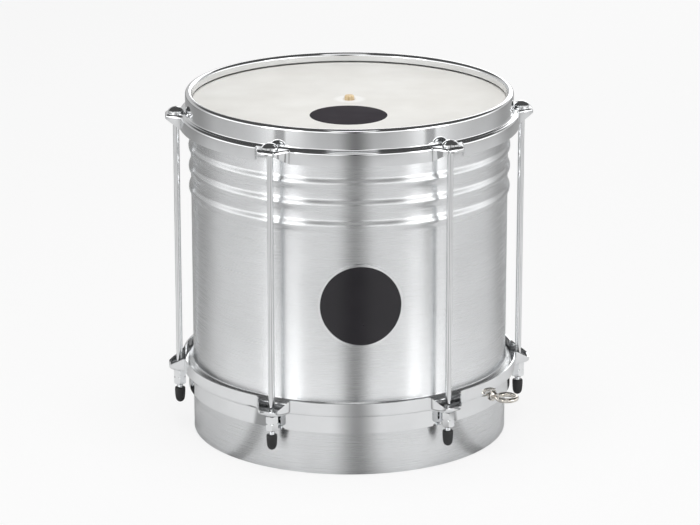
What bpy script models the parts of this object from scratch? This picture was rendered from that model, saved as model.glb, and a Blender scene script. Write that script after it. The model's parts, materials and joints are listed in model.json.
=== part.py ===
"""A cuica: an open aluminium shell, one goatskin head held by two pressed steel hoops and six long
bolts, and a bamboo stick tied to the middle of the head. Metres, +Z up, standing on the shell's open
end. The axis of the drum is the Z axis, and the badge faces -Y."""

import math

import bmesh
import bpy
from mathutils import Matrix

# Clearances
SEAT_GAP = 0.0003
RUNNING_GAP = 0.00006

# Shell
SHELL_RADIUS = 0.127
SHELL_WALL = 0.0012
SHELL_HEIGHT = 0.2708
BEAD_COUNT = 3
FIRST_BEAD_DROP = 0.0350
BEAD_PITCH = 0.0168
BEAD_WIDTH = 0.0116
BEAD_BULGE = 0.0018
STOP_BEAD_WIDTH = 0.0088
STOP_BEAD_BULGE = 0.0044

# Head
SKIN_THICKNESS = 0.0007
FLESH_WIRE_RADIUS = 0.0022
TUCK_ROOM = 0.0014
SKIN_NECK_LENGTH = 0.0140

# Hoops
HOOP_SHEET = 0.0012
COLLAR_PLAY = 0.0018
SKIRT_PLAY = 0.0005
RIM_RISE = 0.0082
RIM_WIDTH = 0.0053
RIM_RETURN = 0.0040
TOP_COLLAR_HEIGHT = 0.0165
LOWER_COLLAR_EDGE = 0.0355
LOWER_COLLAR_HEIGHT = 0.0145
SHOULDER_FILLET = 0.0014
SKIRT_CORNER = 0.0024
SKIRT_DEPTH = 0.0112
EAR_COUNT = 6
EAR_TURN = math.radians(30)
EAR_REACH = 0.0112
EAR_LIP = 0.0036
EAR_TIP_WIDTH = 0.0117
EAR_BASE_WIDTH = 0.0312

# Bolts, nuts and caps
ROD_RADIUS = 0.0025
ROD_STANDOFF = 0.0026
HEAD_RADIUS = 0.0064
HEAD_RIM = 0.0015
HEAD_DOME = 0.0030
NECK_SIDE = 0.0051
NECK_LENGTH = 0.0034
WASHER_RADIUS = 0.0052
WASHER_THICKNESS = 0.0010
NUT_FLATS = 0.0095
NUT_LENGTH = 0.0124
NUT_CHAMFER = 0.0010
NUT_NOTCH_DEPTH = 0.0006
NUT_NOTCH_WIDTH = 0.0016
THREAD_PITCH = 0.0008
LOOSENING_TURNS = 3
CAP_PLAY = 0.0008
CAP_RADIUS = 0.0044
CAP_LENGTH = 0.0129
CAP_FLOOR = 0.0040

# Strap eye
EYE_TURN = math.radians(56.5)
EYE_RISE = 0.0089
EYE_WIRE_RADIUS = 0.0020
EYE_RADIUS = 0.0098
EYE_STEM_RADIUS = 0.0025
EYE_FLANGE_RADIUS = 0.0046
EYE_FLANGE_THICKNESS = 0.0014
EYE_STEM_LENGTH = 0.0015
EYE_WASHER_RADIUS = 0.0060
EYE_WASHER_THICKNESS = 0.0010
EYE_NUT_FLATS = 0.0080
EYE_NUT_THICKNESS = 0.0040
EYE_STEM_END = 0.0012

# Badge
BADGE_RADIUS = 0.0335
BADGE_RIM = 0.0020
BADGE_PLATE = 0.0004
BADGE_INLAY = 0.0004
BADGE_HEIGHT = 0.1387

# Stick
STICK_RADIUS = 0.0039
STICK_RISE = 0.0032
STICK_LENGTH = 0.2000
STICK_JOINT_SWELL = 0.0003
STICK_JOINT_PITCH = 0.0750
BINDING_THICKNESS = 0.0012
BINDING_WIDTH = 0.0080
BINDING_TURNS = 5
STICK_TRAVEL = 0.0020

# Facets
ROUND_SIDES = 48
WIRE_SIDES = 6
EAR_STEPS = 3
BAY_STEPS = 6
SMALL_SIDES = 12
SMOOTH_ANGLE = math.radians(32)

# Heights and radii that follow from the sizes above
SKIN_UNDER = SHELL_HEIGHT + SEAT_GAP
SKIN_TOP = SKIN_UNDER + SKIN_THICKNESS
SKIN_OUTSIDE = SHELL_RADIUS + SEAT_GAP + SKIN_THICKNESS
RIM_TOP = SKIN_TOP + RIM_RISE
TOP_SHELF = RIM_TOP - TOP_COLLAR_HEIGHT
LOWER_SHELF = LOWER_COLLAR_EDGE + LOWER_COLLAR_HEIGHT
COLLAR_INSIDE = SKIN_OUTSIDE + COLLAR_PLAY
COLLAR_OUTSIDE = COLLAR_INSIDE + HOOP_SHEET
WIRE_RING_RADIUS = SHELL_RADIUS + TUCK_ROOM + FLESH_WIRE_RADIUS
WRAP_RADIUS = FLESH_WIRE_RADIUS + SEAT_GAP + SKIN_THICKNESS
WIRE_HEIGHT = TOP_SHELF - HOOP_SHEET - SEAT_GAP - WRAP_RADIUS
SKIRT_INSIDE = WIRE_RING_RADIUS + WRAP_RADIUS + SEAT_GAP + SKIRT_PLAY
SKIRT_OUTSIDE = SKIRT_INSIDE + HOOP_SHEET
ROD_CIRCLE = SKIRT_OUTSIDE + ROD_STANDOFF
HEAD_SEAT = TOP_SHELF + SEAT_GAP
WASHER_TOP = LOWER_SHELF - SEAT_GAP
NUT_TOP = WASHER_TOP - WASHER_THICKNESS - SEAT_GAP
NUT_BOTTOM = NUT_TOP - NUT_LENGTH
CAP_TOP = NUT_BOTTOM - LOOSENING_TURNS * THREAD_PITCH - CAP_PLAY
CAP_BOTTOM = CAP_TOP - CAP_LENGTH
ROD_END = CAP_BOTTOM + CAP_FLOOR + SEAT_GAP
EYE_HEIGHT = LOWER_COLLAR_EDGE + EYE_RISE


def clear_scene():
    for obj in list(bpy.data.objects):
        bpy.data.objects.remove(obj)


def material(name, colour, roughness, metallic=0.0):
    made = bpy.data.materials.new(name)
    made.use_nodes = True
    shader = made.node_tree.nodes["Principled BSDF"]
    shader.inputs["Base Color"].default_value = (*colour, 1.0)
    shader.inputs["Roughness"].default_value = roughness
    shader.inputs["Metallic"].default_value = metallic
    return made


def place(name, mesh, finish, location=(0, 0, 0), turn=0.0, parent=None):
    """A named object with that mesh, turned about Z, shaded smooth except at its sharp edges."""
    mesh.shade_smooth()
    mesh.set_sharp_from_angle(angle=SMOOTH_ANGLE)
    if not mesh.materials:
        mesh.materials.append(finish)
    obj = bpy.data.objects.new(name, mesh)
    bpy.context.scene.collection.objects.link(obj)
    obj.location = location
    obj.rotation_euler.z = turn
    obj.parent = parent
    return obj


def finished_mesh(name, shape):
    """The mesh of a bmesh, with its doubled points joined and its faces pointing out."""
    bmesh.ops.remove_doubles(shape, verts=shape.verts, dist=1e-7)
    bmesh.ops.recalc_face_normals(shape, faces=shape.faces)
    mesh = bpy.data.meshes.new(name)
    shape.to_mesh(mesh)
    shape.free()
    return mesh


def arc(centre, radius, start, end, steps):
    """Points (r, z) on an arc, from one angle in degrees to another."""
    points = []
    for step in range(steps + 1):
        angle = math.radians(start + (end - start) * step / steps)
        points.append((centre[0] + radius * math.cos(angle), centre[1] + radius * math.sin(angle)))
    return points


def bridge(shape, ring, next_ring):
    """Faces between two closed rows of points. A row of one point is the tip of a fan."""
    count = max(len(ring), len(next_ring))
    if count == 1:
        return
    for i in range(count):
        corners = [ring[i % len(ring)], ring[(i + 1) % len(ring)]]
        corners += [next_ring[(i + 1) % len(next_ring)], next_ring[i % len(next_ring)]]
        unique = list(dict.fromkeys(corners))
        shape.faces.new(unique)


def turned(name, profile, sides, phase=0.0):
    """A solid of revolution about Z from a closed outline of (r, z) points. Points at r = 0 are poles."""
    shape = bmesh.new()
    rings = []
    for r, z in profile:
        if r == 0:
            rings.append([shape.verts.new((0, 0, z))])
            continue
        angles = [phase + 2 * math.pi * k / sides for k in range(sides)]
        rings.append([shape.verts.new((r * math.cos(a), r * math.sin(a), z)) for a in angles])
    for ring, next_ring in zip(rings, rings[1:] + rings[:1]):
        bridge(shape, ring, next_ring)
    return finished_mesh(name, shape)


def lofted_ring(name, sections):
    """A closed ring through sections given as (angle from -Y, outline of (r, z) points)."""
    shape = bmesh.new()
    rows = []
    for angle, outline in sections:
        row = [shape.verts.new((r * math.sin(angle), -r * math.cos(angle), z)) for r, z in outline]
        rows.append(row)
    for row, next_row in zip(rows, rows[1:] + rows[:1]):
        bridge(shape, row, next_row)
    return finished_mesh(name, shape)


def prism(name, flats, low, high):
    """A hexagonal bar along Z, by its width across flats."""
    corner = flats / 2 / math.cos(math.pi / 6)
    return turned(name, [(0, low), (corner, low), (corner, high), (0, high)], 6)


def block(name, size, centre):
    shape = bmesh.new()
    bmesh.ops.create_cube(shape, size=1.0, matrix=Matrix.Translation(centre) @ Matrix.Diagonal((*size, 1)))
    return finished_mesh(name, shape)


def combined(name, mesh, others, operation):
    """The mesh after one exact Boolean with each of the others in turn, as a new mesh."""
    base = bpy.data.objects.new(name, mesh)
    bpy.context.scene.collection.objects.link(base)
    helpers = [base]
    for other in others:
        helper = bpy.data.objects.new(other.name, other)
        bpy.context.scene.collection.objects.link(helper)
        helpers.append(helper)
        modifier = base.modifiers.new(operation.title(), "BOOLEAN")
        modifier.operation = operation
        modifier.object = helper
        modifier.solver = "EXACT"
    bpy.context.view_layer.update()
    evaluated = base.evaluated_get(bpy.context.evaluated_depsgraph_get())
    made = bpy.data.meshes.new_from_object(evaluated)
    made.name = name
    for helper in helpers:
        bpy.data.objects.remove(helper)
    return made


def moved(mesh, matrix):
    mesh.transform(matrix)
    return mesh


def about_drum(angle, radius, height):
    """The frame of something on the drum's side: its +X points outwards, away from the drum's axis."""
    place_on_side = Matrix.Rotation(angle - math.pi / 2, 4, "Z")
    return place_on_side @ Matrix.Translation((radius, 0, height))


def bead(centre, width, bulge, radius, steps):
    """Points of a rounded bead on a wall of that radius, from its upper edge to its lower edge."""
    points = []
    for step in range(steps + 1):
        share = step / steps
        swell = math.sin(math.pi * share) ** 2 if steps > 2 else float(step == 1)
        points.append((radius + bulge * swell, centre + width * (0.5 - share)))
    return points


def stop_bead_centre():
    """The stop bead stands on the lower hoop's shoulder, which the bolts pull up against it."""
    return LOWER_SHELF + HOOP_SHEET + SEAT_GAP + STOP_BEAD_WIDTH / 2


def bead_rows():
    """(centre, width, bulge) of each bead, from the top."""
    rows = []
    for k in range(BEAD_COUNT):
        rows.append((SHELL_HEIGHT - FIRST_BEAD_DROP - k * BEAD_PITCH, BEAD_WIDTH, BEAD_BULGE))
    rows.append((stop_bead_centre(), STOP_BEAD_WIDTH, STOP_BEAD_BULGE))
    return rows


def eye_stem_hole():
    """Cuts the way of the strap eye's stem through the lower hoop's collar and the shell's wall."""
    radius = EYE_STEM_RADIUS + SEAT_GAP
    reach = COLLAR_OUTSIDE + SHELL_WALL
    low = SHELL_RADIUS - 3 * SHELL_WALL
    cutter = turned("stem_way", [(0, low), (radius, low), (radius, reach), (0, reach)], SMALL_SIDES)
    lie_outwards = Matrix.Rotation(math.pi / 2, 4, "Y")
    return moved(cutter, about_drum(EYE_TURN, 0, EYE_HEIGHT) @ lie_outwards)


def make_shell(finish):
    inside = SHELL_RADIUS - SHELL_WALL
    edge_round = SHELL_WALL / 2
    outline = arc((SHELL_RADIUS - edge_round, SHELL_HEIGHT - edge_round), edge_round, 180, 0, 3)
    for centre, width, bulge in bead_rows():
        outline += bead(centre, width, bulge, SHELL_RADIUS, 4)
    outline += [(SHELL_RADIUS, 0), (inside, 0)]
    for centre, width, bulge in reversed(bead_rows()):
        outline += reversed(bead(centre, width - 2 * SHELL_WALL, bulge, inside, 2))
    mesh = turned("shell", outline, ROUND_SIDES, math.pi / ROUND_SIDES)
    place("shell", combined("shell", mesh, [eye_stem_hole()], "DIFFERENCE"), finish)


def skin_path():
    """The middle of the skin's thickness, from the neck round the stick to its tucked edge."""
    half = SKIN_THICKNESS / 2
    flat = SKIN_UNDER + half
    neck = STICK_RADIUS + SEAT_GAP + half
    side = SHELL_RADIUS + SEAT_GAP + half
    bend = SHELL_WALL / 2 + SEAT_GAP
    wrap = FLESH_WIRE_RADIUS + SEAT_GAP + half
    centre = (WIRE_RING_RADIUS, WIRE_HEIGHT)
    path = [(neck, flat - SKIN_NECK_LENGTH), (neck, flat - bend), (neck + bend, flat)]
    path += arc((side - bend, flat - bend), bend, 90, 0, 2)
    path += [(side, WIRE_HEIGHT + 2 * wrap)]
    path += [(side + half, WIRE_HEIGHT + 1.4 * wrap)]
    path += arc(centre, wrap, 100, -110, 6)
    return path


def thickened(path, thickness):
    """A closed outline that follows the path at half the thickness on each side."""
    left = []
    right = []
    for i, (r, z) in enumerate(path):
        before = path[max(i - 1, 0)]
        after = path[min(i + 1, len(path) - 1)]
        dr, dz = after[0] - before[0], after[1] - before[1]
        length = math.hypot(dr, dz)
        normal = (-dz / length, dr / length)
        left.append((r + normal[0] * thickness / 2, z + normal[1] * thickness / 2))
        right.append((r - normal[0] * thickness / 2, z - normal[1] * thickness / 2))
    return left + right[::-1]


def make_head(skin_finish, wire_finish):
    outline = thickened(skin_path(), SKIN_THICKNESS)
    place("head_skin", turned("head_skin", outline, ROUND_SIDES, math.pi / ROUND_SIDES), skin_finish)
    section = arc((WIRE_RING_RADIUS, WIRE_HEIGHT), FLESH_WIRE_RADIUS, 0, 360, WIRE_SIDES)[:-1]
    mesh = turned("flesh_hoop", section, ROUND_SIDES, math.pi / ROUND_SIDES)
    place("flesh_hoop", mesh, wire_finish)


def ear_angles():
    """(angle, share of the ear's reach there) all the way round, close together at each ear."""
    half_base = EAR_BASE_WIDTH / 2 / SKIRT_OUTSIDE
    half_tip = EAR_TIP_WIDTH / 2 / (SKIRT_OUTSIDE + EAR_REACH)
    bay = 2 * math.pi / EAR_COUNT
    found = []
    for k in range(EAR_COUNT):
        middle = EAR_TURN + k * bay
        flank = []
        for step in range(EAR_STEPS + 1):
            share = step / EAR_STEPS
            offset = half_base + (half_tip - half_base) * share
            flank.append((offset, share * share * (3 - 2 * share)))
        found += [(middle - offset, reach) for offset, reach in flank]
        found.append((middle, 1.0))
        found += [(middle + offset, reach) for offset, reach in reversed(flank)]
        between = bay - 2 * half_base
        for step in range(1, BAY_STEPS):
            found.append((middle + half_base + between * step / BAY_STEPS, 0.0))
    return found


def skirt_outline(reach, shelf, up):
    """The shoulder, skirt and free edge of a hoop, outside then inside. up is 1 on a hoop whose collar
    stands above its shoulder, and -1 on one that is the other way up. reach is 1 at an ear's tip."""
    skirt = SKIRT_OUTSIDE + EAR_REACH * reach
    edge = shelf - up * (SKIRT_DEPTH + (EAR_LIP - SKIRT_DEPTH) * reach)
    fillet_centre = (COLLAR_OUTSIDE + SHOULDER_FILLET, shelf + up * SHOULDER_FILLET)
    corner_centre = (skirt - SKIRT_CORNER, shelf - up * SKIRT_CORNER)
    inner_fillet = SHOULDER_FILLET + HOOP_SHEET
    inner_corner = SKIRT_CORNER - HOOP_SHEET
    outside = arc(fillet_centre, SHOULDER_FILLET, 180, 180 + 90 * up, 2)
    outside += arc(corner_centre, SKIRT_CORNER, 90 * up, 0, 2)
    outside += [(skirt, edge)]
    inside = [(skirt - HOOP_SHEET, edge)]
    inside += arc(corner_centre, inner_corner, 0, 90 * up, 1)
    inside += arc(fillet_centre, inner_fillet, 180 + 90 * up, 180, 2)
    return outside + inside


def top_hoop_outline(reach):
    """A rolled rim that turns down inside, over the shoulder and skirt."""
    roll = RIM_WIDTH / 2
    centre = (COLLAR_OUTSIDE - roll, RIM_TOP - roll)
    inner_edge = centre[1] - RIM_RETURN
    outline = [(centre[0] - roll, inner_edge)]
    outline += arc(centre, roll, 180, 0, 4)
    outline += skirt_outline(reach, TOP_SHELF, 1)
    outline += arc(centre, roll - HOOP_SHEET, 0, 180, 2)
    outline += [(centre[0] - roll + HOOP_SHEET, inner_edge)]
    return outline


def lower_hoop_outline(reach):
    """A plain collar below the shoulder, with the skirt standing up from it."""
    outline = [(COLLAR_INSIDE, LOWER_COLLAR_EDGE), (COLLAR_OUTSIDE, LOWER_COLLAR_EDGE)]
    return outline + skirt_outline(reach, LOWER_SHELF, -1)


def ear_turns():
    return [EAR_TURN + 2 * math.pi * k / EAR_COUNT for k in range(EAR_COUNT)]


def make_top_hoop(finish):
    mesh = lofted_ring("top_hoop", [(angle, top_hoop_outline(reach)) for angle, reach in ear_angles()])
    side = NECK_SIDE + 2 * SEAT_GAP
    holes = []
    for turn in ear_turns():
        hole = block("neck_way", (side, side, 4 * HOOP_SHEET), (0, 0, 0))
        holes.append(moved(hole, about_drum(turn, ROD_CIRCLE, TOP_SHELF)))
    place("top_hoop", combined("top_hoop", mesh, holes, "DIFFERENCE"), finish)


def make_lower_hoop(finish):
    mesh = lofted_ring("lower_hoop", [(angle, lower_hoop_outline(reach)) for angle, reach in ear_angles()])
    radius = ROD_RADIUS + SEAT_GAP
    half = 2 * HOOP_SHEET
    holes = [eye_stem_hole()]
    for turn in ear_turns():
        outline = [(0, -half), (radius, -half), (radius, half), (0, half)]
        hole = turned("rod_way", outline, SMALL_SIDES, math.pi / SMALL_SIDES)
        holes.append(moved(hole, about_drum(turn, ROD_CIRCLE, LOWER_SHELF)))
    place("lower_hoop", combined("lower_hoop", mesh, holes, "DIFFERENCE"), finish)


def rod_mesh():
    """A carriage bolt, its origin on the seat of its domed head."""
    dome_radius = (HEAD_RADIUS**2 + HEAD_DOME**2) / 2 / HEAD_DOME
    dome_centre = (0, HEAD_RIM + HEAD_DOME - dome_radius)
    half_angle = math.degrees(math.asin(HEAD_RADIUS / dome_radius))
    outline = [(0, 0), (HEAD_RADIUS, 0)]
    outline += arc(dome_centre, dome_radius, 90 - half_angle, 90, 3)[:-1]
    outline += [(0, HEAD_RIM + HEAD_DOME)]
    head = turned("bolt_head", outline, SMALL_SIDES)
    overlap = HEAD_RIM / 2
    neck = block("bolt_neck", (NECK_SIDE, NECK_SIDE, NECK_LENGTH + overlap), (0, 0, (overlap - NECK_LENGTH) / 2))
    end = ROD_END - HEAD_SEAT
    tip = ROD_RADIUS / 4
    stem_outline = [(0, end), (ROD_RADIUS - tip, end), (ROD_RADIUS, end + tip)]
    stem_outline += [(ROD_RADIUS, overlap / 2), (0, overlap / 2)]
    stem = turned("bolt_stem", stem_outline, SMALL_SIDES, math.pi / SMALL_SIDES)
    return combined("tension_rod", head, [neck, stem], "UNION")


def washer_mesh():
    """A flat washer, its origin on its upper face."""
    bore = ROD_RADIUS + SEAT_GAP
    outline = [(bore, 0), (WASHER_RADIUS, 0), (WASHER_RADIUS, -WASHER_THICKNESS), (bore, -WASHER_THICKNESS)]
    return turned("nut_washer", outline, SMALL_SIDES, math.pi / SMALL_SIDES)


def nut_mesh():
    """A long hexagon nut turned from bar, so that its chamfers and groove only touch the corners. Its
    origin is on its upper face."""
    corner = NUT_FLATS / 2 / math.cos(math.pi / 6)
    waist = corner - NUT_NOTCH_DEPTH
    face = corner - NUT_CHAMFER
    middle = -NUT_LENGTH / 2
    outline = [(0, 0), (face, 0), (corner, -NUT_CHAMFER / 2), (corner, middle + NUT_NOTCH_WIDTH / 2)]
    outline += [(waist, middle), (corner, middle - NUT_NOTCH_WIDTH / 2)]
    outline += [(corner, NUT_CHAMFER - NUT_LENGTH), (face, -NUT_LENGTH), (0, -NUT_LENGTH)]
    blank = turned("nut_blank", outline, SMALL_SIDES)
    bar = prism("nut_bar", NUT_FLATS, -NUT_LENGTH - NUT_CHAMFER, NUT_CHAMFER)
    body = combined("nut_body", bar, [blank], "INTERSECT")
    bore = (ROD_RADIUS + RUNNING_GAP) / math.cos(math.pi / SMALL_SIDES)
    low, high = -NUT_LENGTH - NUT_CHAMFER, NUT_CHAMFER
    way = turned("nut_way", [(0, low), (bore, low), (bore, high), (0, high)], SMALL_SIDES)
    return combined("tuning_nut", body, [way], "DIFFERENCE")


def cap_mesh():
    """A soft cap pushed on the bolt's end, its origin in the middle of its mouth."""
    bore = ROD_RADIUS + SEAT_GAP
    bevel = (CAP_RADIUS - bore) / 2
    nose = CAP_RADIUS * 0.9
    outline = [(0, CAP_FLOOR - CAP_LENGTH), (bore, CAP_FLOOR - CAP_LENGTH), (bore, 0), (CAP_RADIUS - bevel, 0)]
    outline += [(CAP_RADIUS, -bevel)]
    outline += [(nose, nose - CAP_LENGTH), (0.75 * nose, 0.35 * nose - CAP_LENGTH)]
    outline += [(0.35 * nose, 0.06 * nose - CAP_LENGTH), (0, -CAP_LENGTH)]
    return turned("rod_cap", outline, SMALL_SIDES)


def make_tuning(chrome, steel, rubber):
    rod = rod_mesh()
    washer = washer_mesh()
    nut = nut_mesh()
    cap = cap_mesh()
    for k, turn in enumerate(ear_turns(), start=1):
        x, y = ROD_CIRCLE * math.sin(turn), -ROD_CIRCLE * math.cos(turn)
        place(f"tension_rod_{k}", rod, chrome, (x, y, HEAD_SEAT), turn)
        place(f"nut_washer_{k}", washer, steel, (x, y, WASHER_TOP), turn)
        place(f"tuning_nut_{k}", nut, chrome, (x, y, NUT_TOP), turn)
        place(f"rod_cap_{k}", cap, rubber, (x, y, CAP_TOP), turn)


def eye_ring():
    shape = bmesh.new()
    middle = EYE_RADIUS - EYE_WIRE_RADIUS
    rows = []
    sides = 18
    for k in range(sides):
        angle = 2 * math.pi * k / sides
        section = arc((middle, 0), EYE_WIRE_RADIUS, 0, 360, WIRE_SIDES)[:-1]
        rows.append([shape.verts.new((r * math.cos(angle), r * math.sin(angle), z)) for r, z in section])
    for row, next_row in zip(rows, rows[1:] + rows[:1]):
        bridge(shape, row, next_row)
    return finished_mesh("eye_ring", shape)


def make_strap_eye(finish, steel):
    """A ring bolt through the lower hoop and the shell. Its parts stand along X, outwards, from the
    collar's outside."""
    upright = Matrix.Rotation(math.pi / 2, 4, "Y")
    flange_back = COLLAR_OUTSIDE + SEAT_GAP
    flange_front = flange_back + EYE_FLANGE_THICKNESS
    ring_back = flange_front + EYE_STEM_LENGTH
    washer_front = (SHELL_RADIUS - SHELL_WALL) * math.cos(math.pi / ROUND_SIDES) - SEAT_GAP
    washer_front -= EYE_WASHER_RADIUS**2 / 2 / SHELL_RADIUS
    washer_back = washer_front - EYE_WASHER_THICKNESS
    nut_front = washer_back - SEAT_GAP
    nut_back = nut_front - EYE_NUT_THICKNESS
    stem_end = nut_back - EYE_STEM_END
    stem_front = ring_back + EYE_WIRE_RADIUS
    stem = [(0, stem_end), (EYE_STEM_RADIUS, stem_end), (EYE_STEM_RADIUS, flange_back - SEAT_GAP / 2)]
    stem += [(EYE_FLANGE_RADIUS, flange_back), (EYE_FLANGE_RADIUS, flange_front)]
    stem += [(EYE_STEM_RADIUS, ring_back), (EYE_WIRE_RADIUS * 0.8, stem_front), (0, stem_front)]
    frame = about_drum(EYE_TURN, 0, EYE_HEIGHT)
    stem_mesh = moved(turned("eye_stem", stem, SMALL_SIDES), upright)
    ring_mesh = moved(eye_ring(), Matrix.Translation((ring_back + EYE_RADIUS, 0, 0)))
    mesh = moved(combined("strap_eye", ring_mesh, [stem_mesh], "UNION"), frame)
    place("strap_eye", mesh, finish)
    bore = EYE_STEM_RADIUS + SEAT_GAP
    washer = [(bore, washer_back), (EYE_WASHER_RADIUS, washer_back), (EYE_WASHER_RADIUS, washer_front)]
    washer += [(bore, washer_front)]
    place("strap_eye_washer", moved(turned("strap_eye_washer", washer, SMALL_SIDES), frame @ upright), steel)
    nut = prism("strap_eye_nut", EYE_NUT_FLATS, nut_back, nut_front)
    way_low, way_high = nut_back - SHELL_WALL, nut_front + SHELL_WALL
    way = turned("stem_way", [(0, way_low), (bore, way_low), (bore, way_high), (0, way_high)], SMALL_SIDES)
    nut = combined("strap_eye_nut", nut, [way], "DIFFERENCE")
    place("strap_eye_nut", moved(nut, frame @ upright), steel)


def bent_to_shell(mesh, base_radius):
    """Bends a flat round plate that lies in XY onto the shell's front, its thickness pointing out."""
    for vert in mesh.vertices:
        x, y, height = vert.co
        angle = x / base_radius
        radius = base_radius + height
        vert.co = (radius * math.sin(angle), -radius * math.cos(angle), BADGE_HEIGHT + y)
    return mesh


def disc_rows(radius, height, rows):
    return [(radius * k / rows, height) for k in range(rows + 1)]


def make_badge(plate_finish, inlay_finish):
    sides = 32
    field = BADGE_RADIUS - BADGE_RIM
    rim_height = BADGE_PLATE + SEAT_GAP + BADGE_INLAY
    plate = disc_rows(BADGE_RADIUS, 0, 3)
    plate += [(BADGE_RADIUS, rim_height), (field + SEAT_GAP, rim_height)]
    plate += reversed(disc_rows(field + SEAT_GAP, BADGE_PLATE, 2))
    base = SHELL_RADIUS + SEAT_GAP
    place("badge_plate", bent_to_shell(turned("badge_plate", plate, sides), base), plate_finish)
    low = BADGE_PLATE + SEAT_GAP
    inlay = disc_rows(field, low, 2) + list(reversed(disc_rows(field, low + BADGE_INLAY, 2)))
    place("badge_inlay", bent_to_shell(turned("badge_inlay", inlay, sides), base), inlay_finish)


def make_stick(bamboo, thread):
    """The stick and its binding hang from an empty in the middle of the head, where the skin carries
    them."""
    centre = bpy.data.objects.new("stick_centre", None)
    bpy.context.scene.collection.objects.link(centre)
    centre.location = (0, 0, SKIN_TOP)
    bottom = STICK_RISE - STICK_LENGTH
    edge = STICK_RADIUS / 5
    outline = [(0, STICK_RISE), (STICK_RADIUS - edge, STICK_RISE), (STICK_RADIUS, STICK_RISE - edge)]
    joints = math.floor((STICK_LENGTH - 2 * STICK_RADIUS) / STICK_JOINT_PITCH)
    for k in range(joints):
        height = STICK_RISE - STICK_JOINT_PITCH * (k + 0.8)
        swell = STICK_RADIUS + STICK_JOINT_SWELL
        outline += [(STICK_RADIUS, height + STICK_RADIUS / 2), (swell, height)]
        outline += [(STICK_RADIUS, height - STICK_RADIUS / 2)]
    outline += [(STICK_RADIUS, bottom + STICK_RADIUS), (0.75 * STICK_RADIUS, bottom + 0.3 * STICK_RADIUS)]
    outline += [(0, bottom)]
    place("stick", turned("stick", outline, SMALL_SIDES), bamboo, parent=centre)
    inside = STICK_RADIUS + SEAT_GAP + SKIN_THICKNESS + SEAT_GAP
    top = -SKIN_THICKNESS - SEAT_GAP - STICK_TRAVEL - SHELL_WALL
    turn_height = BINDING_WIDTH / BINDING_TURNS
    binding = [(inside, top)]
    for k in range(BINDING_TURNS):
        high = top - k * turn_height
        binding += [(inside + BINDING_THICKNESS / 2, high), (inside + BINDING_THICKNESS, high - turn_height / 2)]
    low = top - BINDING_WIDTH
    binding += [(inside + BINDING_THICKNESS / 2, low), (inside, low)]
    place("stick_binding", turned("stick_binding", binding, SMALL_SIDES), thread, parent=centre)


def main():
    clear_scene()
    aluminium = material("brushed_aluminium", (0.78, 0.79, 0.80), 0.30, 1.0)
    chrome = material("chrome", (0.86, 0.87, 0.88), 0.06, 1.0)
    steel = material("zinc_steel", (0.62, 0.63, 0.64), 0.35, 1.0)
    nickel = material("nickel", (0.78, 0.74, 0.68), 0.18, 1.0)
    skin = material("goatskin", (0.86, 0.85, 0.80), 0.60)
    rubber = material("black_rubber", (0.015, 0.015, 0.016), 0.60)
    inlay = material("black_enamel", (0.012, 0.011, 0.014), 0.25)
    bamboo = material("bamboo", (0.74, 0.58, 0.36), 0.50)
    thread = material("waxed_thread", (0.80, 0.74, 0.60), 0.70)
    make_shell(aluminium)
    make_head(skin, steel)
    make_top_hoop(chrome)
    make_lower_hoop(chrome)
    make_tuning(chrome, steel, rubber)
    make_strap_eye(nickel, steel)
    make_badge(chrome, inlay)
    make_stick(bamboo, thread)


main()
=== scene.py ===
import json
import math

import bmesh
import bpy
from mathutils import Matrix, Vector

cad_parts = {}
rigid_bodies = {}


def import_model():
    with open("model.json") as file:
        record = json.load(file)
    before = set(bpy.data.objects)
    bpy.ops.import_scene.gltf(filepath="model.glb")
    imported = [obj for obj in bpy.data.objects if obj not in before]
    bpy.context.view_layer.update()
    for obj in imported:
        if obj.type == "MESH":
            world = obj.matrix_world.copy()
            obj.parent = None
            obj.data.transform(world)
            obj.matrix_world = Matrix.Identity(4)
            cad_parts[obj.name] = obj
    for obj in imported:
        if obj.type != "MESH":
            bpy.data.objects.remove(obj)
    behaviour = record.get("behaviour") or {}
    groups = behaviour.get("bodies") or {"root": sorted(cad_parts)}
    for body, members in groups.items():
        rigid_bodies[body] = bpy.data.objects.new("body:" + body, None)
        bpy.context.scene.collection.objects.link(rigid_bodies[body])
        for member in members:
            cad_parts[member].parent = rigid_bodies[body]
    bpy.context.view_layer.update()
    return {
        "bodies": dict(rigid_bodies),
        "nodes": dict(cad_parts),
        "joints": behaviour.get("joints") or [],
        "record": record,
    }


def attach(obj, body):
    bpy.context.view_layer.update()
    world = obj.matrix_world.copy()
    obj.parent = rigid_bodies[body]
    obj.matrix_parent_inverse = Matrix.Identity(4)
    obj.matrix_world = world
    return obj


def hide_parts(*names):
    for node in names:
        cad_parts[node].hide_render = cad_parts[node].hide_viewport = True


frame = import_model()

# Camera
CAMERA_AZIMUTH = math.radians(-4)
CAMERA_ELEVATION = math.radians(16.8)
CAMERA_DISTANCE = 2.70
CAMERA_LENS = 171.5
CAMERA_TARGET = (0.0005, 0.0, 0.1355)

# The printed disc on the head and the patch of glue round the stick
DISC_CENTRE = (-0.0043, -0.0518)
DISC_RADIUS = 0.0305
GLUE_RADIUS = 0.0135

# The room's brightness by the angle from straight in front, in radians, and by the height of the direction
PANEL_BRIGHTNESS = 1.4
ROOM_BRIGHTNESS = 0.08
BACK_BRIGHTNESS = 0.35
FRONT_GAP = (0.0, 0.24)
PANEL_GAPS = ((0.80, 0.98),)
BEHIND = (1.75, 2.25)
CEILING = (0.28, 0.48)
OVERHEAD_BRIGHTNESS = 1.5
OVERHEAD_HEIGHT = (0.72, 0.90)
OVERHEAD_HALF_WIDTH = 0.24
EDGE_SOFTNESS = 0.05
# Painted reflection on the floor: pale where the studio panels' light would fall, dark (painted shade) in
# their gaps and behind, seen by all rays but the camera's
FLOOR_PAINTED_SHADE = (0.30, 0.30, 0.30)
FLOOR_PALE = (0.80, 0.80, 0.80)

# Clearances
SEAT_GAP = 0.0003
RUNNING_GAP = 0.00006

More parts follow.
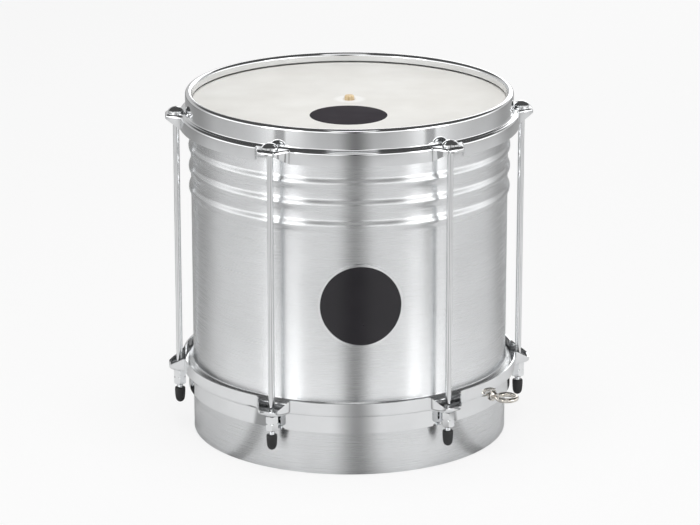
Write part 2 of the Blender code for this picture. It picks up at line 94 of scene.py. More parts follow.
# Shell
SHELL_RADIUS = 0.127
SHELL_WALL = 0.0012
SHELL_HEIGHT = 0.2708
BEAD_COUNT = 3
FIRST_BEAD_DROP = 0.0350
BEAD_PITCH = 0.0168
BEAD_WIDTH = 0.0116
BEAD_BULGE = 0.0018
STOP_BEAD_WIDTH = 0.0088
STOP_BEAD_BULGE = 0.0044

# Head
SKIN_THICKNESS = 0.0007
FLESH_WIRE_RADIUS = 0.0022
TUCK_ROOM = 0.0014
SKIN_NECK_LENGTH = 0.0140

# Hoops
HOOP_SHEET = 0.0012
COLLAR_PLAY = 0.0018
SKIRT_PLAY = 0.0005
RIM_RISE = 0.0082
RIM_WIDTH = 0.0053
RIM_RETURN = 0.0040
TOP_COLLAR_HEIGHT = 0.0165
LOWER_COLLAR_EDGE = 0.0355
LOWER_COLLAR_HEIGHT = 0.0145
SHOULDER_FILLET = 0.0014
SKIRT_CORNER = 0.0024
SKIRT_DEPTH = 0.0112
EAR_COUNT = 6
EAR_TURN = math.radians(30)
EAR_REACH = 0.0112
EAR_LIP = 0.0036
EAR_TIP_WIDTH = 0.0117
EAR_BASE_WIDTH = 0.0312

# Bolts, nuts and caps
ROD_RADIUS = 0.0025
ROD_STANDOFF = 0.0026
HEAD_RADIUS = 0.0064
HEAD_RIM = 0.0015
HEAD_DOME = 0.0030
NECK_SIDE = 0.0051
NECK_LENGTH = 0.0034
WASHER_RADIUS = 0.0052
WASHER_THICKNESS = 0.0010
NUT_FLATS = 0.0095
NUT_LENGTH = 0.0124
NUT_CHAMFER = 0.0010
NUT_NOTCH_DEPTH = 0.0006
NUT_NOTCH_WIDTH = 0.0016
THREAD_PITCH = 0.0008
LOOSENING_TURNS = 3
CAP_PLAY = 0.0008
CAP_RADIUS = 0.0044
CAP_LENGTH = 0.0129
CAP_FLOOR = 0.0040

# Strap eye
EYE_TURN = math.radians(56.5)
EYE_RISE = 0.0089
EYE_WIRE_RADIUS = 0.0020
EYE_RADIUS = 0.0098
EYE_STEM_RADIUS = 0.0025
EYE_FLANGE_RADIUS = 0.0046
EYE_FLANGE_THICKNESS = 0.0014
EYE_STEM_LENGTH = 0.0015
EYE_WASHER_RADIUS = 0.0060
EYE_WASHER_THICKNESS = 0.0010
EYE_NUT_FLATS = 0.0080
EYE_NUT_THICKNESS = 0.0040
EYE_STEM_END = 0.0012

# Badge
BADGE_RADIUS = 0.0335
BADGE_RIM = 0.0020
BADGE_PLATE = 0.0004
BADGE_INLAY = 0.0004
BADGE_HEIGHT = 0.1387

# Stick
STICK_RADIUS = 0.0039
STICK_RISE = 0.0032
STICK_LENGTH = 0.2000
STICK_JOINT_SWELL = 0.0003
STICK_JOINT_PITCH = 0.0750
BINDING_THICKNESS = 0.0012
BINDING_WIDTH = 0.0080
BINDING_TURNS = 5
STICK_TRAVEL = 0.0020

# Facets
ROUND_SIDES = 192
WIRE_SIDES = 8
EAR_STEPS = 12
BAY_STEPS = 24
SMALL_SIDES = 36
CURVE_DETAIL = 4
SMOOTH_ANGLE = math.radians(32)
THREAD_DEPTH = 0.00035
THREAD_ABOVE = 0.0040

# Heights and radii that follow from the sizes above
SKIN_UNDER = SHELL_HEIGHT + SEAT_GAP
SKIN_TOP = SKIN_UNDER + SKIN_THICKNESS
SKIN_OUTSIDE = SHELL_RADIUS + SEAT_GAP + SKIN_THICKNESS
RIM_TOP = SKIN_TOP + RIM_RISE
TOP_SHELF = RIM_TOP - TOP_COLLAR_HEIGHT
LOWER_SHELF = LOWER_COLLAR_EDGE + LOWER_COLLAR_HEIGHT
COLLAR_INSIDE = SKIN_OUTSIDE + COLLAR_PLAY
COLLAR_OUTSIDE = COLLAR_INSIDE + HOOP_SHEET
WIRE_RING_RADIUS = SHELL_RADIUS + TUCK_ROOM + FLESH_WIRE_RADIUS
WRAP_RADIUS = FLESH_WIRE_RADIUS + SEAT_GAP + SKIN_THICKNESS
WIRE_HEIGHT = TOP_SHELF - HOOP_SHEET - SEAT_GAP - WRAP_RADIUS
SKIRT_INSIDE = WIRE_RING_RADIUS + WRAP_RADIUS + SEAT_GAP + SKIRT_PLAY
SKIRT_OUTSIDE = SKIRT_INSIDE + HOOP_SHEET
ROD_CIRCLE = SKIRT_OUTSIDE + ROD_STANDOFF
HEAD_SEAT = TOP_SHELF + SEAT_GAP
WASHER_TOP = LOWER_SHELF - SEAT_GAP
NUT_TOP = WASHER_TOP - WASHER_THICKNESS - SEAT_GAP
NUT_BOTTOM = NUT_TOP - NUT_LENGTH
CAP_TOP = NUT_BOTTOM - LOOSENING_TURNS * THREAD_PITCH - CAP_PLAY
CAP_BOTTOM = CAP_TOP - CAP_LENGTH
ROD_END = CAP_BOTTOM + CAP_FLOOR + SEAT_GAP
EYE_HEIGHT = LOWER_COLLAR_EDGE + EYE_RISE


def body_of_node(name):
    """The body that carries a node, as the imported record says."""
    bodies = frame["record"]["behaviour"]["bodies"]
    return next(body for body, nodes in bodies.items() if name in nodes)


def place(name, mesh, finish, location=(0, 0, 0), turn=0.0, parent=None):
    """A finely divided piece that stands for the node of that name and moves with its body."""
    mesh.shade_smooth()
    mesh.set_sharp_from_angle(angle=SMOOTH_ANGLE)
    if not mesh.materials:
        mesh.materials.append(finish)
    obj = bpy.data.objects.new(name + "_seen", mesh)
    bpy.context.scene.collection.objects.link(obj)
    obj.location = Vector(location) + (parent or Vector((0, 0, 0)))
    obj.rotation_euler.z = turn
    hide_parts(name)
    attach(obj, body_of_node(name))
    return obj


def rounded(outline):
    """An outline with each of its corners cut twice, for soft pieces. Points on the axis stay."""
    for _ in range(2):
        cut = []
        for first, second in zip(outline, outline[1:] + outline[:1]):
            if first[0] == 0:
                cut.append(first)
            if first[0] == 0 and second[0] == 0:
                continue
            if first[0] > 0:
                cut.append(tuple(0.75 * a + 0.25 * b for a, b in zip(first, second)))
            if second[0] > 0:
                cut.append(tuple(0.25 * a + 0.75 * b for a, b in zip(first, second)))
        outline = cut
    return outline


def finished_mesh(name, shape):
    """The mesh of a bmesh, with its doubled points joined and its faces pointing out."""
    bmesh.ops.remove_doubles(shape, verts=shape.verts, dist=1e-7)
    bmesh.ops.recalc_face_normals(shape, faces=shape.faces)
    mesh = bpy.data.meshes.new(name)
    shape.to_mesh(mesh)
    shape.free()
    return mesh


def arc(centre, radius, start, end, steps):
    """Points (r, z) on an arc, from one angle in degrees to another."""
    points = []
    steps *= CURVE_DETAIL
    for step in range(steps + 1):
        angle = math.radians(start + (end - start) * step / steps)
        points.append((centre[0] + radius * math.cos(angle), centre[1] + radius * math.sin(angle)))
    return points


def bridge(shape, ring, next_ring):
    """Faces between two closed rows of points. A row of one point is the tip of a fan."""
    count = max(len(ring), len(next_ring))
    if count == 1:
        return
    for i in range(count):
        corners = [ring[i % len(ring)], ring[(i + 1) % len(ring)]]
        corners += [next_ring[(i + 1) % len(next_ring)], next_ring[i % len(next_ring)]]
        unique = list(dict.fromkeys(corners))
        shape.faces.new(unique)


def turned(name, profile, sides, phase=0.0):
    """A solid of revolution about Z from a closed outline of (r, z) points. Points at r = 0 are poles."""
    shape = bmesh.new()
    rings = []
    for r, z in profile:
        if r == 0:
            rings.append([shape.verts.new((0, 0, z))])
            continue
        angles = [phase + 2 * math.pi * k / sides for k in range(sides)]
        rings.append([shape.verts.new((r * math.cos(a), r * math.sin(a), z)) for a in angles])
    for ring, next_ring in zip(rings, rings[1:] + rings[:1]):
        bridge(shape, ring, next_ring)
    return finished_mesh(name, shape)


def lofted_ring(name, sections):
    """A closed ring through sections given as (angle from -Y, outline of (r, z) points)."""
    shape = bmesh.new()
    rows = []
    for angle, outline in sections:
        row = [shape.verts.new((r * math.sin(angle), -r * math.cos(angle), z)) for r, z in outline]
        rows.append(row)
    for row, next_row in zip(rows, rows[1:] + rows[:1]):
        bridge(shape, row, next_row)
    return finished_mesh(name, shape)


def prism(name, flats, low, high, phase=0.0):
    """A hexagonal bar along Z, by its width across flats."""
    corner = flats / 2 / math.cos(math.pi / 6)
    return turned(name, [(0, low), (corner, low), (corner, high), (0, high)], 6, phase)


def block(name, size, centre):
    shape = bmesh.new()
    bmesh.ops.create_cube(shape, size=1.0, matrix=Matrix.Translation(centre) @ Matrix.Diagonal((*size, 1)))
    return finished_mesh(name, shape)


def combined(name, mesh, others, operation):
    """The mesh after one exact Boolean with each of the others in turn, as a new mesh."""
    base = bpy.data.objects.new(name, mesh)
    bpy.context.scene.collection.objects.link(base)
    helpers = [base]
    for other in others:
        helper = bpy.data.objects.new(other.name, other)
        bpy.context.scene.collection.objects.link(helper)
        helpers.append(helper)
        modifier = base.modifiers.new(operation.title(), "BOOLEAN")
        modifier.operation = operation
        modifier.object = helper
        modifier.solver = "EXACT"
    bpy.context.view_layer.update()
    evaluated = base.evaluated_get(bpy.context.evaluated_depsgraph_get())
    made = bpy.data.meshes.new_from_object(evaluated)
    made.name = name
    for helper in helpers:
        bpy.data.objects.remove(helper)
    return made


def moved(mesh, matrix):
    mesh.transform(matrix)
    return mesh


def about_drum(angle, radius, height):
    """The frame of something on the drum's side: its +X points outwards, away from the drum's axis."""
    place_on_side = Matrix.Rotation(angle - math.pi / 2, 4, "Z")
    return place_on_side @ Matrix.Translation((radius, 0, height))


def bead(centre, width, bulge, radius, steps):
    """Points of a rounded bead on a wall of that radius, from its upper edge to its lower edge."""
    points = []
    steps *= CURVE_DETAIL
    for step in range(steps + 1):
        share = step / steps
        swell = math.sin(math.pi * share) ** 2
        points.append((radius + bulge * swell, centre + width * (0.5 - share)))
    return points


def stop_bead_centre():
    """The stop bead stands on the lower hoop's shoulder, which the bolts pull up against it."""
    return LOWER_SHELF + HOOP_SHEET + SEAT_GAP + STOP_BEAD_WIDTH / 2


def bead_rows():
    """(centre, width, bulge) of each bead, from the top."""
    rows = []
    for k in range(BEAD_COUNT):
        rows.append((SHELL_HEIGHT - FIRST_BEAD_DROP - k * BEAD_PITCH, BEAD_WIDTH, BEAD_BULGE))
    rows.append((stop_bead_centre(), STOP_BEAD_WIDTH, STOP_BEAD_BULGE))
    return rows


def eye_stem_hole():
    """Cuts the way of the strap eye's stem through the lower hoop's collar and the shell's wall."""
    radius = EYE_STEM_RADIUS + SEAT_GAP
    reach = COLLAR_OUTSIDE + SHELL_WALL
    low = SHELL_RADIUS - 3 * SHELL_WALL
    cutter = turned("stem_way", [(0, low), (radius, low), (radius, reach), (0, reach)], SMALL_SIDES)
    lie_outwards = Matrix.Rotation(math.pi / 2, 4, "Y")
    return moved(cutter, about_drum(EYE_TURN, 0, EYE_HEIGHT) @ lie_outwards)


def make_shell(finish):
    inside = SHELL_RADIUS - SHELL_WALL
    edge_round = SHELL_WALL / 2
    outline = arc((SHELL_RADIUS - edge_round, SHELL_HEIGHT - edge_round), edge_round, 180, 0, 3)
    for centre, width, bulge in bead_rows():
        outline += bead(centre, width, bulge, SHELL_RADIUS, 4)
    outline += [(SHELL_RADIUS, 0), (inside, 0)]
    for centre, width, bulge in reversed(bead_rows()):
        outline += reversed(bead(centre, width - 2 * SHELL_WALL, bulge, inside, 2))
    mesh = turned("shell", outline, ROUND_SIDES, math.pi / ROUND_SIDES)
    place("shell", combined("shell", mesh, [eye_stem_hole()], "DIFFERENCE"), finish)


def skin_path():
    """The middle of the skin's thickness, from the neck round the stick to its tucked edge."""
    half = SKIN_THICKNESS / 2
    flat = SKIN_UNDER + half
    neck = STICK_RADIUS + SEAT_GAP + half
    side = SHELL_RADIUS + SEAT_GAP + half
    bend = SHELL_WALL / 2 + SEAT_GAP
    wrap = FLESH_WIRE_RADIUS + SEAT_GAP + half
    centre = (WIRE_RING_RADIUS, WIRE_HEIGHT)
    path = [(neck, flat - SKIN_NECK_LENGTH), (neck, flat - bend), (neck + bend, flat)]
    path += arc((side - bend, flat - bend), bend, 90, 0, 2)
    path += [(side, WIRE_HEIGHT + 2 * wrap)]
    path += [(side + half, WIRE_HEIGHT + 1.4 * wrap)]
    path += arc(centre, wrap, 100, -110, 6)
    return path


def thickened(path, thickness):
    """A closed outline that follows the path at half the thickness on each side."""
    left = []
    right = []
    for i, (r, z) in enumerate(path):
        before = path[max(i - 1, 0)]
        after = path[min(i + 1, len(path) - 1)]
        dr, dz = after[0] - before[0], after[1] - before[1]
        length = math.hypot(dr, dz)
        normal = (-dz / length, dr / length)
        left.append((r + normal[0] * thickness / 2, z + normal[1] * thickness / 2))
        right.append((r - normal[0] * thickness / 2, z - normal[1] * thickness / 2))
    return left + right[::-1]


def make_head(skin_finish, wire_finish):
    outline = thickened(skin_path(), SKIN_THICKNESS)
    place("head_skin", turned("head_skin", outline, ROUND_SIDES, math.pi / ROUND_SIDES), skin_finish)
    section = arc((WIRE_RING_RADIUS, WIRE_HEIGHT), FLESH_WIRE_RADIUS, 0, 360, WIRE_SIDES)[:-1]
    mesh = turned("flesh_hoop", section, ROUND_SIDES, math.pi / ROUND_SIDES)
    place("flesh_hoop", mesh, wire_finish)


def ear_angles():
    """(angle, share of the ear's reach there) all the way round, close together at each ear."""
    half_base = EAR_BASE_WIDTH / 2 / SKIRT_OUTSIDE
    half_tip = EAR_TIP_WIDTH / 2 / (SKIRT_OUTSIDE + EAR_REACH)
    bay = 2 * math.pi / EAR_COUNT
    found = []
    for k in range(EAR_COUNT):
        middle = EAR_TURN + k * bay
        flank = []
        for step in range(EAR_STEPS + 1):
            share = step / EAR_STEPS
            offset = half_base + (half_tip - half_base) * share
            flank.append((offset, share * share * (3 - 2 * share)))
        found += [(middle - offset, reach) for offset, reach in flank]
        found.append((middle, 1.0))
        found += [(middle + offset, reach) for offset, reach in reversed(flank)]
        between = bay - 2 * half_base
        for step in range(1, BAY_STEPS):
            found.append((middle + half_base + between * step / BAY_STEPS, 0.0))
    return found


def skirt_outline(reach, shelf, up):
    """The shoulder, skirt and free edge of a hoop, outside then inside. up is 1 on a hoop whose collar
    stands above its shoulder, and -1 on one that is the other way up. reach is 1 at an ear's tip."""
    skirt = SKIRT_OUTSIDE + EAR_REACH * reach
    edge = shelf - up * (SKIRT_DEPTH + (EAR_LIP - SKIRT_DEPTH) * reach)
    fillet_centre = (COLLAR_OUTSIDE + SHOULDER_FILLET, shelf + up * SHOULDER_FILLET)
    corner_centre = (skirt - SKIRT_CORNER, shelf - up * SKIRT_CORNER)
    inner_fillet = SHOULDER_FILLET + HOOP_SHEET
    inner_corner = SKIRT_CORNER - HOOP_SHEET
    outside = arc(fillet_centre, SHOULDER_FILLET, 180, 180 + 90 * up, 2)
    outside += arc(corner_centre, SKIRT_CORNER, 90 * up, 0, 2)
    outside += [(skirt, edge)]
    inside = [(skirt - HOOP_SHEET, edge)]
    inside += arc(corner_centre, inner_corner, 0, 90 * up, 1)
    inside += arc(fillet_centre, inner_fillet, 180 + 90 * up, 180, 2)
    return outside + inside


def top_hoop_outline(reach):
    """A rolled rim that turns down inside, over the shoulder and skirt."""
    roll = RIM_WIDTH / 2
    centre = (COLLAR_OUTSIDE - roll, RIM_TOP - roll)
    inner_edge = centre[1] - RIM_RETURN
    outline = [(centre[0] - roll, inner_edge)]
    outline += arc(centre, roll, 180, 0, 4)
    outline += skirt_outline(reach, TOP_SHELF, 1)
    outline += arc(centre, roll - HOOP_SHEET, 0, 180, 2)
    outline += [(centre[0] - roll + HOOP_SHEET, inner_edge)]
    return outline


def lower_hoop_outline(reach):
    """A plain collar below the shoulder, with the skirt standing up from it."""
    outline = [(COLLAR_INSIDE, LOWER_COLLAR_EDGE), (COLLAR_OUTSIDE, LOWER_COLLAR_EDGE)]
    return outline + skirt_outline(reach, LOWER_SHELF, -1)


def ear_turns():
    return [EAR_TURN + 2 * math.pi * k / EAR_COUNT for k in range(EAR_COUNT)]


def make_top_hoop(finish):
    mesh = lofted_ring("top_hoop", [(angle, top_hoop_outline(reach)) for angle, reach in ear_angles()])
    side = NECK_SIDE + 2 * SEAT_GAP
    holes = []
    for turn in ear_turns():
        hole = block("neck_way", (side, side, 4 * HOOP_SHEET), (0, 0, 0))
        holes.append(moved(hole, about_drum(turn, ROD_CIRCLE, TOP_SHELF)))
    place("top_hoop", combined("top_hoop", mesh, holes, "DIFFERENCE"), finish)


def make_lower_hoop(finish):
    mesh = lofted_ring("lower_hoop", [(angle, lower_hoop_outline(reach)) for angle, reach in ear_angles()])
    radius = ROD_RADIUS + SEAT_GAP
    half = 2 * HOOP_SHEET
    holes = [eye_stem_hole()]
    for turn in ear_turns():
        outline = [(0, -half), (radius, -half), (radius, half), (0, half)]
        hole = turned("rod_way", outline, SMALL_SIDES, math.pi / SMALL_SIDES)
        holes.append(moved(hole, about_drum(turn, ROD_CIRCLE, LOWER_SHELF)))
    place("lower_hoop", combined("lower_hoop", mesh, holes, "DIFFERENCE"), finish)


def rod_mesh():
    """A carriage bolt, its origin on the seat of its domed head."""
    dome_radius = (HEAD_RADIUS**2 + HEAD_DOME**2) / 2 / HEAD_DOME
    dome_centre = (0, HEAD_RIM + HEAD_DOME - dome_radius)
    half_angle = math.degrees(math.asin(HEAD_RADIUS / dome_radius))
    outline = [(0, 0), (HEAD_RADIUS, 0)]
    outline += arc(dome_centre, dome_radius, 90 - half_angle, 90, 3)[:-1]
    outline += [(0, HEAD_RIM + HEAD_DOME)]
    head = turned("bolt_head", outline, SMALL_SIDES)
    overlap = HEAD_RIM / 2
    neck_size = (NECK_SIDE, NECK_SIDE, NECK_LENGTH + overlap)
    neck = block("bolt_neck", neck_size, (0, 0, (overlap - NECK_LENGTH) / 2))
    end = ROD_END - HEAD_SEAT
    tip = ROD_RADIUS / 4
    stem_outline = [(0, end), (ROD_RADIUS - tip, end), (ROD_RADIUS, end + tip)]
    thread_top = LOWER_SHELF + THREAD_ABOVE - HEAD_SEAT
    crests = math.floor((thread_top - end - tip) / THREAD_PITCH)
    for k in range(crests):
        low = end + tip + k * THREAD_PITCH
        stem_outline += [(ROD_RADIUS - THREAD_DEPTH, low + THREAD_PITCH / 2)]
        stem_outline += [(ROD_RADIUS, low + THREAD_PITCH)]
    stem_outline += [(ROD_RADIUS, overlap / 2), (0, overlap / 2)]
    stem = turned("bolt_stem", stem_outline, SMALL_SIDES, math.pi / SMALL_SIDES)
    return combined("tension_rod", head, [neck, stem], "UNION")


def washer_mesh():
    """A flat washer, its origin on its upper face."""
    bore = ROD_RADIUS + SEAT_GAP
    outline = [(bore, 0), (WASHER_RADIUS, 0), (WASHER_RADIUS, -WASHER_THICKNESS), (bore, -WASHER_THICKNESS)]
    return turned("nut_washer", outline, SMALL_SIDES, math.pi / SMALL_SIDES)


def nut_mesh():
    """A long hexagon nut turned from bar, so that its chamfers and groove only touch the corners. Its
    origin is on its upper face."""
    corner = NUT_FLATS / 2 / math.cos(math.pi / 6)
    waist = corner - NUT_NOTCH_DEPTH
    face = corner - NUT_CHAMFER
    middle = -NUT_LENGTH / 2
    outline = [(0, 0), (face, 0), (corner, -NUT_CHAMFER / 2), (corner, middle + NUT_NOTCH_WIDTH / 2)]
    outline += [(waist, middle), (corner, middle - NUT_NOTCH_WIDTH / 2)]
    outline += [(corner, NUT_CHAMFER - NUT_LENGTH), (face, -NUT_LENGTH), (0, -NUT_LENGTH)]
    blank = turned("nut_blank", outline, SMALL_SIDES)
    bar = prism("nut_bar", NUT_FLATS, -NUT_LENGTH - NUT_CHAMFER, NUT_CHAMFER)
    body = combined("nut_body", bar, [blank], "INTERSECT")
    bore = (ROD_RADIUS + RUNNING_GAP) / math.cos(math.pi / SMALL_SIDES)
    low, high = -NUT_LENGTH - NUT_CHAMFER, NUT_CHAMFER
    way = turned("nut_way", [(0, low), (bore, low), (bore, high), (0, high)], SMALL_SIDES)
    return combined("tuning_nut", body, [way], "DIFFERENCE")


def cap_mesh():
    """A soft cap pushed on the bolt's end, its origin in the middle of its mouth."""
    bore = ROD_RADIUS + SEAT_GAP
    bevel = (CAP_RADIUS - bore) / 2
    nose = CAP_RADIUS * 0.9
    floor = CAP_FLOOR - CAP_LENGTH
    outline = [(0, floor), (bore, floor), (bore, 0), (CAP_RADIUS - bevel, 0)]
    outline += [(CAP_RADIUS, -bevel)]
    outline += [(nose, nose - CAP_LENGTH), (0.75 * nose, 0.35 * nose - CAP_LENGTH)]
    outline += [(0.35 * nose, 0.06 * nose - CAP_LENGTH), (0, -CAP_LENGTH)]
    return turned("rod_cap", rounded(outline), SMALL_SIDES)


def make_tuning(chrome, steel, rubber):
    rod = rod_mesh()
    washer = washer_mesh()
    nut = nut_mesh()
    cap = cap_mesh()
    for k, turn in enumerate(ear_turns(), start=1):
        x, y = ROD_CIRCLE * math.sin(turn), -ROD_CIRCLE * math.cos(turn)
        place(f"tension_rod_{k}", rod, chrome, (x, y, HEAD_SEAT), turn)
        place(f"nut_washer_{k}", washer, steel, (x, y, WASHER_TOP), turn)
        place(f"tuning_nut_{k}", nut, chrome, (x, y, NUT_TOP), turn)
        place(f"rod_cap_{k}", cap, rubber, (x, y, CAP_TOP), turn)


def eye_ring():
    shape = bmesh.new()
    middle = EYE_RADIUS - EYE_WIRE_RADIUS
    rows = []
    sides = 96
    for k in range(sides):
        angle = 2 * math.pi * k / sides
        section = arc((middle, 0), EYE_WIRE_RADIUS, 0, 360, WIRE_SIDES)[:-1]
        rows.append([shape.verts.new((r * math.cos(angle), r * math.sin(angle), z)) for r, z in section])
    for row, next_row in zip(rows, rows[1:] + rows[:1]):
        bridge(shape, row, next_row)
    return finished_mesh("eye_ring", shape)


def make_strap_eye(finish, steel):
    """A ring bolt through the lower hoop and the shell. Its parts stand along X, outwards, from the
    collar's outside."""
    upright = Matrix.Rotation(math.pi / 2, 4, "Y")
    flange_back = COLLAR_OUTSIDE + SEAT_GAP
    flange_front = flange_back + EYE_FLANGE_THICKNESS
    ring_back = flange_front + EYE_STEM_LENGTH
    washer_front = (SHELL_RADIUS - SHELL_WALL) * math.cos(math.pi / ROUND_SIDES) - SEAT_GAP
    washer_front -= EYE_WASHER_RADIUS**2 / 2 / SHELL_RADIUS
    washer_back = washer_front - EYE_WASHER_THICKNESS
    nut_front = washer_back - SEAT_GAP
    nut_back = nut_front - EYE_NUT_THICKNESS
    stem_end = nut_back - EYE_STEM_END
    stem_front = ring_back + EYE_WIRE_RADIUS
    stem = [(0, stem_end), (EYE_STEM_RADIUS, stem_end), (EYE_STEM_RADIUS, flange_back - SEAT_GAP / 2)]
    stem += [(EYE_FLANGE_RADIUS, flange_back), (EYE_FLANGE_RADIUS, flange_front)]
    stem += [(EYE_STEM_RADIUS, ring_back), (EYE_WIRE_RADIUS * 0.8, stem_front), (0, stem_front)]
    frame = about_drum(EYE_TURN, 0, EYE_HEIGHT)
    stem_mesh = moved(turned("eye_stem", stem, SMALL_SIDES), upright)
    ring_mesh = moved(eye_ring(), Matrix.Translation((ring_back + EYE_RADIUS, 0, 0)))
    mesh = moved(combined("strap_eye", ring_mesh, [stem_mesh], "UNION"), frame)
    place("strap_eye", mesh, finish)
    bore = EYE_STEM_RADIUS + SEAT_GAP
    washer = [(bore, washer_back), (EYE_WASHER_RADIUS, washer_back), (EYE_WASHER_RADIUS, washer_front)]
    washer += [(bore, washer_front)]
    place("strap_eye_washer", moved(turned("strap_eye_washer", washer, SMALL_SIDES), frame @ upright), steel)
    nut = prism("strap_eye_nut", EYE_NUT_FLATS, nut_back, nut_front)
    way_low, way_high = nut_back - SHELL_WALL, nut_front + SHELL_WALL
    way = turned("stem_way", [(0, way_low), (bore, way_low), (bore, way_high), (0, way_high)], SMALL_SIDES)
    nut = combined("strap_eye_nut", nut, [way], "DIFFERENCE")
    place("strap_eye_nut", moved(nut, frame @ upright), steel)


def bent_to_shell(mesh, base_radius):
    """Bends a flat round plate that lies in XY onto the shell's front, its thickness pointing out."""
    for vert in mesh.vertices:
        x, y, height = vert.co
        angle = x / base_radius
        radius = base_radius + height
        vert.co = (radius * math.sin(angle), -radius * math.cos(angle), BADGE_HEIGHT + y)
    return mesh


def disc_rows(radius, height, rows):
    return [(radius * k / rows, height) for k in range(rows + 1)]


def make_badge(plate_finish, inlay_finish):
    sides = 128
    field = BADGE_RADIUS - BADGE_RIM
    rim_height = BADGE_PLATE + SEAT_GAP + BADGE_INLAY
    plate = disc_rows(BADGE_RADIUS, 0, 12)
    plate += [(BADGE_RADIUS, rim_height), (field + SEAT_GAP, rim_height)]
    plate += reversed(disc_rows(field + SEAT_GAP, BADGE_PLATE, 10))
    base = SHELL_RADIUS + SEAT_GAP
    place("badge_plate", bent_to_shell(turned("badge_plate", plate, sides), base), plate_finish)
    low = BADGE_PLATE + SEAT_GAP
    inlay = disc_rows(field, low, 10) + list(reversed(disc_rows(field, low + BADGE_INLAY, 10)))
    place("badge_inlay", bent_to_shell(turned("badge_inlay", inlay, sides), base), inlay_finish)


def make_stick(bamboo, thread):
    """The stick and its binding, measured from the middle of the head, where the skin carries them."""
    centre = Vector((0, 0, SKIN_TOP))
    bottom = STICK_RISE - STICK_LENGTH
    edge = STICK_RADIUS / 5
    outline = [(0, STICK_RISE), (STICK_RADIUS - edge, STICK_RISE), (STICK_RADIUS, STICK_RISE - edge)]
    joints = math.floor((STICK_LENGTH - 2 * STICK_RADIUS) / STICK_JOINT_PITCH)
    for k in range(joints):
        height = STICK_RISE - STICK_JOINT_PITCH * (k + 0.8)
        swell = STICK_RADIUS + STICK_JOINT_SWELL
        outline += [(STICK_RADIUS, height + STICK_RADIUS / 2), (swell, height)]
        outline += [(STICK_RADIUS, height - STICK_RADIUS / 2)]
    outline += [(STICK_RADIUS, bottom + STICK_RADIUS), (0.75 * STICK_RADIUS, bottom + 0.3 * STICK_RADIUS)]
    outline += [(0, bottom)]
    place("stick", turned("stick", outline, SMALL_SIDES), bamboo, parent=centre)
    inside = STICK_RADIUS + SEAT_GAP + SKIN_THICKNESS + SEAT_GAP
    top = -SKIN_THICKNESS - SEAT_GAP - STICK_TRAVEL - SHELL_WALL
    turn_height = BINDING_WIDTH / BINDING_TURNS
    binding = [(inside, top)]
    for k in range(BINDING_TURNS):
        high = top - k * turn_height
        binding += [(inside + BINDING_THICKNESS / 2, high)]
        binding += [(inside + BINDING_THICKNESS, high - turn_height / 2)]
    low = top - BINDING_WIDTH
    binding += [(inside + BINDING_THICKNESS / 2, low), (inside, low)]
    place("stick_binding", turned("stick_binding", binding, SMALL_SIDES), thread, parent=centre)


def share(tree, value, start, end):
    """0 up to start, 1 from end on, and a smooth step between them."""
    node = tree.nodes.new("ShaderNodeMapRange")
    node.interpolation_type = "SMOOTHSTEP"
    node.inputs["From Min"].default_value = start
    node.inputs["From Max"].default_value = end
    tree.links.new(value, node.inputs["Value"])
    return node.outputs["Result"]


def calculate(tree, operation, *values):
    node = tree.nodes.new("ShaderNodeMath")
    node.operation = operation
    for socket, value in zip(node.inputs, values):
        if isinstance(value, (int, float)):
            socket.default_value = value
        else:
            tree.links.new(value, socket)
    return node.outputs[0]


class Graph:
    """The node graph of one material."""

    def __init__(self, name):
        self.material = bpy.data.materials.new(name)
        self.material.use_nodes = True
        self.tree = self.material.node_tree
        self.shader = self.tree.nodes["Principled BSDF"]
        self.place = self.add("ShaderNodeTexCoord").outputs["Object"]

    def add(self, kind, **settings):
        node = self.tree.nodes.new(kind)
        for key, value in settings.items():
            setattr(node, key, value)
        return node

    def link(self, output, socket):
        self.tree.links.new(output, socket)

    def value(self, socket, number):
        self.shader.inputs[socket].default_value = number

    def math(self, operation, a, b=None):
        node = self.add("ShaderNodeMath", operation=operation)
        for socket, item in zip(node.inputs, (a, b)):
            if item is None:
                continue
            if isinstance(item, (int, float)):
                socket.default_value = item
            else:
                self.link(item, socket)
        return node.outputs[0]

    def noise(self, scale, detail=4.0, stretch=(1, 1, 1), source=None):
        mapping = self.add("ShaderNodeMapping")
        mapping.inputs["Scale"].default_value = stretch
        self.link(source or self.place, mapping.inputs["Vector"])
        noise = self.add("ShaderNodeTexNoise")
        noise.inputs["Scale"].default_value = scale
        noise.inputs["Detail"].default_value = detail
        self.link(mapping.outputs["Vector"], noise.inputs["Vector"])
        return noise.outputs["Fac"]

    def ramp(self, factor, stops):
        ramp = self.add("ShaderNodeValToRGB")
        elements = ramp.color_ramp.elements
        while len(elements) < len(stops):
            elements.new(0.5)
        for element, (position, colour) in zip(elements, stops):
            element.position = position
            element.color = (*colour, 1.0)
        self.link(factor, ramp.inputs["Fac"])
        return ramp.outputs["Color"]

    def mix(self, factor, first, second):
        node = self.add("ShaderNodeMix", data_type="RGBA")
        for name, item in (("Factor", factor), ("A", first), ("B", second)):
            socket = node.inputs[name]
            if isinstance(item, tuple):
                socket.default_value = (*item, 1.0)
            elif isinstance(item, float):
                socket.default_value = item
            else:
                self.link(item, socket)
        return node.outputs["Result"]

    def range(self, factor, low, high):
        node = self.add("ShaderNodeMapRange")
        node.inputs["To Min"].default_value = low
        node.inputs["To Max"].default_value = high
        self.link(factor, node.inputs["Value"])
        return node.outputs["Result"]

    def bump(self, height, strength, distance):
        node = self.add("ShaderNodeBump")
        node.inputs["Strength"].default_value = strength
        node.inputs["Distance"].default_value = distance
        self.link(height, node.inputs["Height"])
        self.link(node.outputs["Normal"], self.shader.inputs["Normal"])


